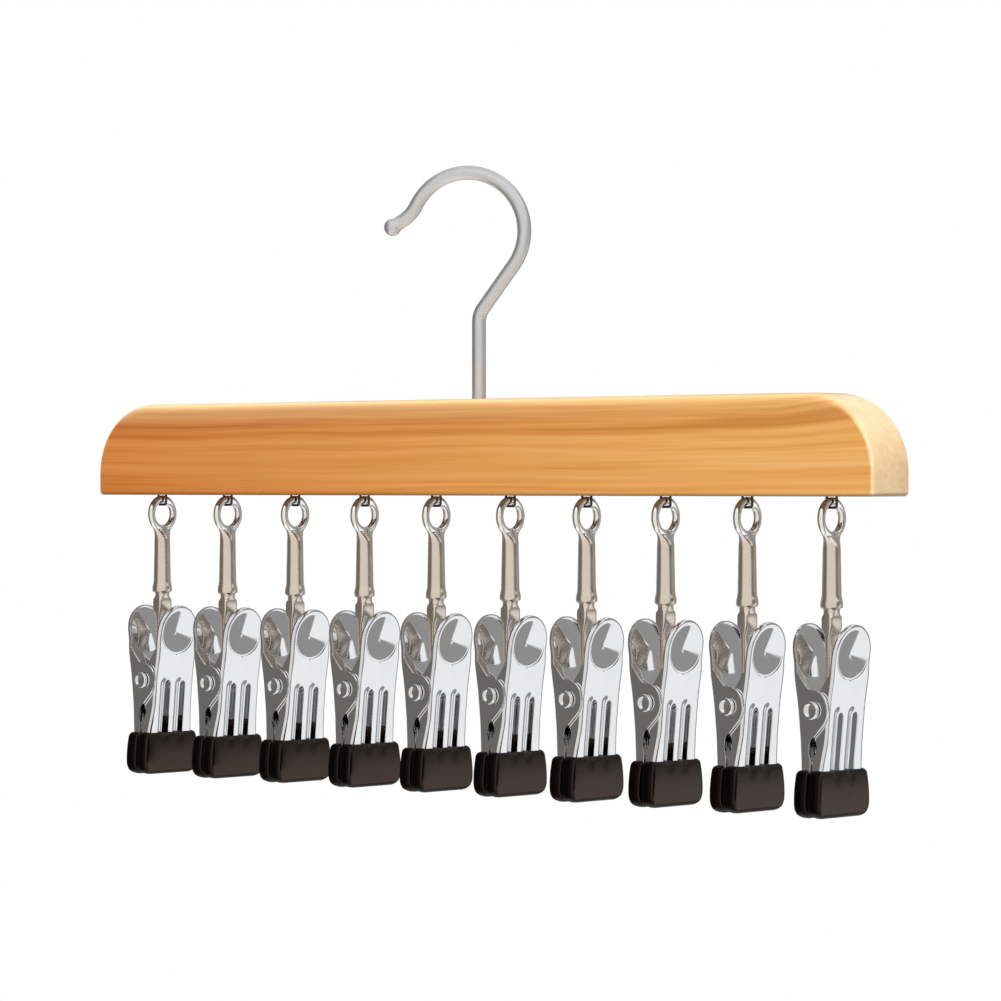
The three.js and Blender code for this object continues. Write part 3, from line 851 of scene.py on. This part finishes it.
points, faces = [], []
for grid in jaw_grids():
    start, width = len(points), len(grid[0])
    points += [point for row in grid for point in row]
    for i in range(len(grid) - 1):
        for k in range(width - 1):
            a = start + i * width + k
            faces.append((a, a + 1, a + 1 + width, a + width))
open_sheet = mesh_of("right_jaw", points, faces)
if max(open_sheet.polygons, key=lambda face: face.center.x).normal.x < 0:
    open_sheet.flip_normals()
print("faces on the open sheet:", len(open_sheet.polygons))

# %% Both jaws
rounding = {"width": EDGE_ROUND * MM, "segments": 2, "limit_method": "ANGLE", "angle_limit": math.radians(60)}
right_jaw = worked(
    open_sheet, [("SOLIDIFY", {"thickness": SHEET * MM, "offset": -1}), ("BEVEL", rounding)], crease=32
)
left_jaw = right_jaw.copy()
left_jaw.name = "left_jaw"
left_jaw.transform(Matrix.Rotation(math.pi, 4, "Z"))
print("jaw faces:", len(right_jaw.polygons))

# %% [markdown]
# ## Vinyl
# The jaws are dipped in liquid vinyl, which sets as a soft black skin. On the flat faces it is glossy and
# mirrors a little light, with a brownish cast. On the sides and round the edges its shine is turned down,
# which is painted shade that keeps them nearly black. One shader does both, because its shine follows the
# way that the surface faces.

# %% Vinyl
SKIN_MM, CLOUD_MM = 1.2, 14
SHINE_AND_SIDE_SHADE = {"From Min": 0.5, "From Max": 0.97, "To Min": 0.08, "To Max": 0.55}
vinyl, tree, shader, spot = new_finish("dipped_black_vinyl", ior=1.53, specular_tint=linear("#FFD9C6"))
facing = add(tree, "ShaderNodeSeparateXYZ", {0: spot.node.outputs["Normal"]}).outputs
# Painted shade: where the surface turns from the flat faces to the sides and edges, the shine is turned down
# so they stay nearly black.
flatness = add(tree, "ShaderNodeMath", {0: facing["X"]}, operation="ABSOLUTE")
shine_and_side_shade = add(
    tree, "ShaderNodeMapRange", {"Value": flatness.outputs[0], **SHINE_AND_SIDE_SHADE}, interpolation_type="SMOOTHSTEP"
)
pores = add(tree, "ShaderNodeTexNoise", {"Vector": spot, "Scale": 1 / (SKIN_MM * MM), "Detail": 3.0})
cloudy = add(tree, "ShaderNodeTexNoise", {"Vector": spot, "Scale": 1 / (CLOUD_MM * MM), "Detail": 2.0})
dye = add(
    tree,
    "ShaderNodeMix",
    {"Factor": cloudy.outputs["Fac"], "A": linear("#020101"), "B": linear("#060403")},
    data_type="RGBA",
)
gloss = add(tree, "ShaderNodeMapRange", {"Value": cloudy.outputs["Fac"], "To Min": 0.16, "To Max": 0.24})
peel = add(tree, "ShaderNodeBump", {"Height": pores.outputs["Fac"], "Strength": 0.08, "Distance": 0.2 * MM})
tree.links.new(dye.outputs["Result"], shader.inputs["Base Color"])
tree.links.new(shine_and_side_shade.outputs[0], shader.inputs["Specular IOR Level"])
tree.links.new(gloss.outputs[0], shader.inputs["Roughness"])
tree.links.new(peel.outputs["Normal"], shader.inputs["Normal"])
print("finish:", vinyl.name)

# %% [markdown]
# ## Vinyl tips
# Each tip is a cap with rounded edges and a slight sag. A bevelled box would look too hard, so a block with
# every edge rounded is swollen in the middle and drawn in at the corners. Small hollows show where the
# grooves of the jaw run in under the skin.

# %% Form of a tip
TIP = {"top": 88.0, "bottom": 103.5, "half": 14.4, "corner": 4.4, "outer": 5.4, "gap": 0.15, "round": 1.7}
SAG = {"waist": 0.4, "neck": 1.1, "swell": 0.06}
HOLLOW = {"wide": 1.3, "high": 2.6, "sink": 0.45}
TIP_HALVES = ((TIP["outer"] - TIP["gap"]) / 2, TIP["half"], (TIP["bottom"] - TIP["top"]) / 2)
TIP_MIDDLE = (TIP["top"] + TIP["bottom"]) / 2


def tip_shape(x, y, z):
    """Rounds a block's edges, then swells and trims it as a dipped cap sets."""
    radius, corner = TIP["round"], TIP["corner"]
    inner = [max(-h + radius, min(h - radius, v)) for v, h in zip((x, y, z), TIP_HALVES)]
    away = Vector((x, y, z)) - Vector(inner)
    place = Vector(inner) + away.normalized() * radius
    depth = TIP_MIDDLE - place.z
    down = (depth - TIP["top"]) / (TIP["bottom"] - TIP["top"])
    swell = math.sin(math.pi * max(0.0, min(1.0, down)))
    width = TIP["half"] - SAG["waist"] * (1 - swell) - SAG["neck"] * max(0.0, 1 - down) ** 1.5
    over = min(max(0.0, depth - TIP["bottom"] + corner), 0.96 * corner)
    width -= corner - math.sqrt(corner**2 - over**2)
    y = place.y * width / TIP["half"]
    out = TIP["gap"] + (place.x + TIP_HALVES[0]) * (1 - SAG["swell"] + SAG["swell"] * swell)
    if place.x > 0:
        beside = (abs(y) - GROOVE["aside"]) / HOLLOW["wide"]
        below = max(0.0, (depth - TIP["top"]) / HOLLOW["high"])
        out -= HOLLOW["sink"] * math.exp(-(beside**2) - below**2)
    return (out, y, -depth)


print("a tip is mm wide:", 2 * TIP["half"])

# %% Tips
TIP_PITCH = (0.8, 0.7, 0.9)


def steps_along(half, radius, pitch):
    """Places from -half to half, close together near the ends where the edge is rounded."""
    edge = [half - radius * share for share in (0, 0.12, 0.3, 0.5, 0.7, 0.88, 1)]
    inner = half - radius
    count = max(2, round(2 * inner / pitch))
    middle = [-inner + 2 * inner * k / count for k in range(1, count)]
    return [-e for e in edge] + middle + edge[::-1]


ticks = [steps_along(half, TIP["round"], pitch) for half, pitch in zip(TIP_HALVES, TIP_PITCH)]
points, faces = [], []
for across in range(3):
    u, v = [k for k in range(3) if k != across]
    wide = len(ticks[v])
    for side in (-1, 1):
        start = len(points)
        for a in ticks[u]:
            for b in ticks[v]:
                block = [0.0, 0.0, 0.0]
                block[across], block[u], block[v] = side * TIP_HALVES[across], a, b
                points.append(tip_shape(*block))
        for i in range(len(ticks[u]) - 1):
            for k in range(wide - 1):
                c = start + i * wide + k
                faces.append((c, c + 1, c + 1 + wide, c + wide))
right_tip = mesh_of("right_tip", points, faces, 60)
left_tip = mesh_of("left_tip", [(-x, -y, z) for x, y, z in points], faces, 60)
print("tip faces:", len(right_tip.polygons))

# %% [markdown]
# ## Rivets
# A hollow rivet holds both jaws and the link's tail, and its ends are rolled over into a raised rim. It is
# round all over, so half of its outline, turned about the pin's axis, gives the pin and both heads at once.

# %% Rivet
PIN = 1.5
HEAD = (  # distance from the middle, radius
    (11.15, 0.02), (11.15, 1.3), (11.3, 1.75), (11.65, 2.1), (11.8, 2.45), (11.7, 2.75), (11.35, 3.0),
    (10.9, 3.1), (10.72, 3.05), (10.7, PIN),
)
profile = [(-y, r) for y, r in HEAD] + [(y, r) for y, r in reversed(HEAD)]
rows = [[(x, y, z) for x, z in arc((0, -PIVOT_DEPTH), r, 0, 360, 40)[:-1]] for y, r in profile]
rivet_mesh = mesh_of("rivet", *skin(rows), 50)
print("rivet faces:", len(rivet_mesh.polygons))

# %% [markdown]
# ## Springs
# The spring is wound round the rivet, with two straight legs that push the handles apart. A wound wire could
# bend as the clip opens. It is simpler to cut it in the middle: its two halves ride on the two jaws, so that
# each leg stays on its handle when the clip is squeezed.

# %% Spring
COIL = {"radius": 2.5, "wire": 0.5, "turns": 2.5, "pitch": 1.5, "start": 3.6, "leg": 59.6}
COIL_STEPS, COIL_HALF = 60, 30
leg_rest = web_at(COIL["leg"]) - SHEET - PLAY - COIL["wire"]
coil = []
for i in range(COIL_STEPS + 1):
    turn = 2 * math.pi * COIL["turns"] * i / COIL_STEPS
    y = COIL["start"] + COIL["pitch"] * COIL["turns"] * i / COIL_STEPS
    coil.append((COIL["radius"] * math.cos(turn), y, COIL["radius"] * math.sin(turn) - PIVOT_DEPTH))
right_wire = [(leg_rest, coil[0][1], -COIL["leg"]), *coil[: COIL_HALF + 1]]
left_wire = [*coil[COIL_HALF:], (-leg_rest, coil[-1][1], -COIL["leg"])]
right_spring, left_spring = (
    mesh_of(name, *skin(tube(wire, [COIL["wire"]] * len(wire), 12)))
    for name, wire in (("right_spring", right_wire), ("left_spring", left_wire))
)
print("spring faces:", len(right_spring.polygons) + len(left_spring.polygons))

# %% [markdown]
# ## Hanging the ten clips
# The ten clips are the same, so they share their meshes: each piece is placed at its own staple and rides on
# its own link or jaw. Sharing keeps the file light, and a change to one mesh changes all ten.

# %% Ten clips
SIDES = {"left": (left_jaw, left_tip, left_spring), "right": (right_jaw, right_tip, right_spring)}
for i, place in enumerate(clip_places):
    clip = f"clip_{i + 1:02d}"
    link_body = f"{clip}_link"
    put(f"{clip}_link_strip", link_mesh, nickel, "nickel", link_body, f"{clip}_link", place=place)
    put(f"{clip}_rivet_tube", rivet_mesh, chrome, "chrome", link_body, f"{clip}_rivet", place=place)
    for side, (sheet, tip, spring) in SIDES.items():
        jaw, wire = f"{clip}_{side}_jaw", f"{clip}_spring"
        put(f"{clip}_{side}_sheet", sheet, chrome, "chrome", jaw, jaw, place=place)
        put(f"{clip}_{side}_tip", tip, vinyl, "black_vinyl", jaw, jaw, place=place)
        put(f"{clip}_{side}_spring", spring, spring_steel, "spring_steel", jaw, wire, place=place)

# %% [markdown]
# ## White ground and daylight
# The picture has a plain white ground, so the world is white wherever the camera or a reflection looks at it.
# A white world that also lit the object evenly would look flat. For diffuse light it is bright overhead and
# dim from below, as in a room with a bright ceiling.

# %% World
DAYLIGHT = {"From Min": -0.1, "From Max": 0.5, "To Min": 0.06, "To Max": 1.0}
world = bpy.data.worlds.new("studio")
bpy.context.scene.world = world
world.use_nodes = True
tree = world.node_tree
tree.nodes.clear()
rays = add(tree, "ShaderNodeLightPath").outputs
mirrored = add(
    tree, "ShaderNodeMath", {0: rays["Is Camera Ray"], 1: rays["Is Glossy Ray"]}, operation="MAXIMUM"
)
seen = add(
    tree, "ShaderNodeMath", {0: mirrored.outputs[0], 1: rays["Is Transmission Ray"]}, operation="MAXIMUM"
)
way = add(tree, "ShaderNodeSeparateXYZ", {0: add(tree, "ShaderNodeTexCoord").outputs["Generated"]})
daylight = add(tree, "ShaderNodeMapRange", {"Value": way.outputs["Z"], **DAYLIGHT})
level = add(
    tree, "ShaderNodeMapRange", {"Value": seen.outputs[0], "To Min": daylight.outputs[0], "To Max": 1.0}
)
sky = add(tree, "ShaderNodeBackground", {"Color": linear("#FFFFFF"), "Strength": level.outputs[0]})
add(tree, "ShaderNodeOutputWorld", {"Surface": sky.outputs[0]})
print("daylight from below and from above:", DAYLIGHT["To Min"], DAYLIGHT["To Max"])

# %% [markdown]
# ## Floor
# The hanger hangs well above a round sheet of white paper, which takes its soft shadow. A disc of rings is
# enough for that. It is hidden from reflections, so that the metal shows the white ground and the cards.

# %% Floor
FLOOR = {"height": -0.45, "radius": 1200, "rings": (0.02, 0.3, 0.6, 0.9, 1.0), "fibre_mm": 3}
# Uncoated paper is matt, so the eye sees no shine on it, only a slight fleck from its fibres. Real flecks
# are too fine to show here, so they are drawn 3 mm wide.
paper, tree, shader, spot = new_finish("white_paper_floor", roughness=0.9, specular_ior_level=0.1)
fibre = add(
    tree, "ShaderNodeTexNoise", {"Vector": spot, "Scale": 1 / (FLOOR["fibre_mm"] * MM), "Detail": 3.0}
)
pulp = add(
    tree,
    "ShaderNodeMix",
    {"Factor": fibre.outputs["Fac"], "A": linear("#F4F4F3"), "B": linear("#FBFBFA")},
    data_type="RGBA",
)
tree.links.new(pulp.outputs["Result"], shader.inputs["Base Color"])
circles = [arc((0, 0), FLOOR["radius"] * share, 0, 360, 96)[:-1] for share in FLOOR["rings"]]
points, faces = skin([[(x, y, 0) for x, y in circle] for circle in circles])
floor = bpy.data.objects.new("floor", mesh_of("floor", points, faces[:-1]))
floor.data.materials.append(paper)
floor.location.z = FLOOR["height"]
floor.visible_glossy = floor.visible_diffuse = False
bpy.context.scene.collection.objects.link(floor)
print("floor faces:", len(floor.data.polygons))

# %% [markdown]
# ## Cards
# Chrome has no colour of its own: it shows what stands around it, and so a photographer puts grey cards round
# a chromed object. A picture of a studio could do it too, but cards can be moved one by one. The cards here
# are seen only by reflections, and their edges fade out, so that a reflection ends softly.

# %% A card
EYE_LEVEL = -0.165
CARD_SPANS = 15


def card(name, bearings, rises, colour, distance, soft=1.5):
    """A curved card: two bearings from the camera's direction and two angles of rise, in degrees."""
    finish = bpy.data.materials.new(name)
    finish.use_nodes = True
    tree = finish.node_tree
    tree.nodes.clear()
    glow = add(tree, "ShaderNodeEmission", {"Color": linear(colour), "Strength": 1.0})
    clear = add(tree, "ShaderNodeBsdfTransparent")
    fade = add(tree, "ShaderNodeAttribute", attribute_name="fade")
    mixed = add(
        tree, "ShaderNodeMixShader", {0: fade.outputs["Fac"], 1: clear.outputs[0], 2: glow.outputs[0]}
    )
    add(tree, "ShaderNodeOutputMaterial", {"Surface": mixed.outputs[0]})
    first, last = bearings[0] + soft, bearings[1] - soft
    inner = [first + (last - first) * k / CARD_SPANS for k in range(CARD_SPANS + 1)]
    across = [first - 2 * soft, *inner, last + 2 * soft]
    upward = [rises[0] - soft, rises[0] + soft, rises[1] - soft, rises[1] + soft]
    points, faces, shares = [], [], []
    for i, bearing in enumerate(across):
        turn = BEARING + math.radians(bearing)
        for k, rise in enumerate(upward):
            height = EYE_LEVEL + distance * math.tan(math.radians(rise))
            points.append((math.sin(turn) * distance / MM, -math.cos(turn) * distance / MM, height / MM))
            shares.append(0.0 if i in (0, len(across) - 1) or k in (0, 3) else 1.0)
            if i and k:
                c = 4 * i + k
                faces.append((c - 5, c - 1, c, c - 4))
    sheet = bpy.data.objects.new(name, mesh_of(name, points, faces))
    sheet.data.attributes.new("fade", "FLOAT", "POINT").data.foreach_set("value", shares)
    sheet.data.materials.append(finish)
    sheet.visible_camera = sheet.visible_diffuse = sheet.visible_shadow = False
    bpy.context.scene.collection.objects.link(sheet)


# The left side stands for a dim room beside the table. Its two cards meet in a soft line.
card("card_left", (-140, -64), (-8.5, 50), "#726F6C", 3.0, soft=3)
card("card_left_low", (-140, -64), (-50, -4), "#7C7A7A", 3.05)
print("cards at the left: 2")

# %% Cards in front, at the right, behind and above
SIDE_GREY = "#9A9997"
card("card_front", (-66, 44), (-50, 28), "#EAE6E0", 3.1)
card("card_strip", (43, 66), (-50, 14), "#747474", 3.2)
card("card_dark", (58, 80), (5, 16), "#4C4643", 2.9)
card("card_right_high", (64, 88), (-10.5, 17), SIDE_GREY, 3.3)
card("card_back_high", (86, 106), (-2, 45), SIDE_GREY, 3.4)
card("card_back_low", (103, 107), (-50, -18), SIDE_GREY, 3.5)
card("card_back", (104, 150), (-50, 45), SIDE_GREY, 3.6)
card("card_behind", (170, 215), (-45, 45), "#8A8A8A", 3.7)
card("card_top", (-178, 178), (56, 80), "#CCCCCC", 3.8)
print("cards in front, at the right, behind and above: 9")

# %% [markdown]
# ## Lamps
# Three large soft lamps light the wood: one from the right for the end grain, one from the front and a weak
# one above the left end. Small lamps would draw hard shadows. They are hidden from reflections, because the
# cards already give the metal what it shows.

# %% Lamps
AIM = Vector((0, 0, -0.12))


def lamp(name, place, size, power):
    light = bpy.data.lights.new(name, "AREA")
    light.shape, light.size, light.size_y, light.energy = "RECTANGLE", size[0], size[1], power
    fixture = bpy.data.objects.new(name, light)
    fixture.location = place
    fixture.rotation_euler = (AIM - Vector(place)).to_track_quat("-Z", "Y").to_euler()
    fixture.visible_glossy = False
    bpy.context.scene.collection.objects.link(fixture)


lamp("key_right", (2.2, -0.6, 0.6), (1.2, 1.2), 24)
lamp("fill_front", (0.4, -2.4, 0.8), (1.6, 1.6), 42)
lamp("top", (-0.6, -0.1, 1.2), (1.0, 0.8), 7)
bpy.context.scene.view_settings.view_transform = "Standard"
print("lamps:", len(bpy.data.lights))
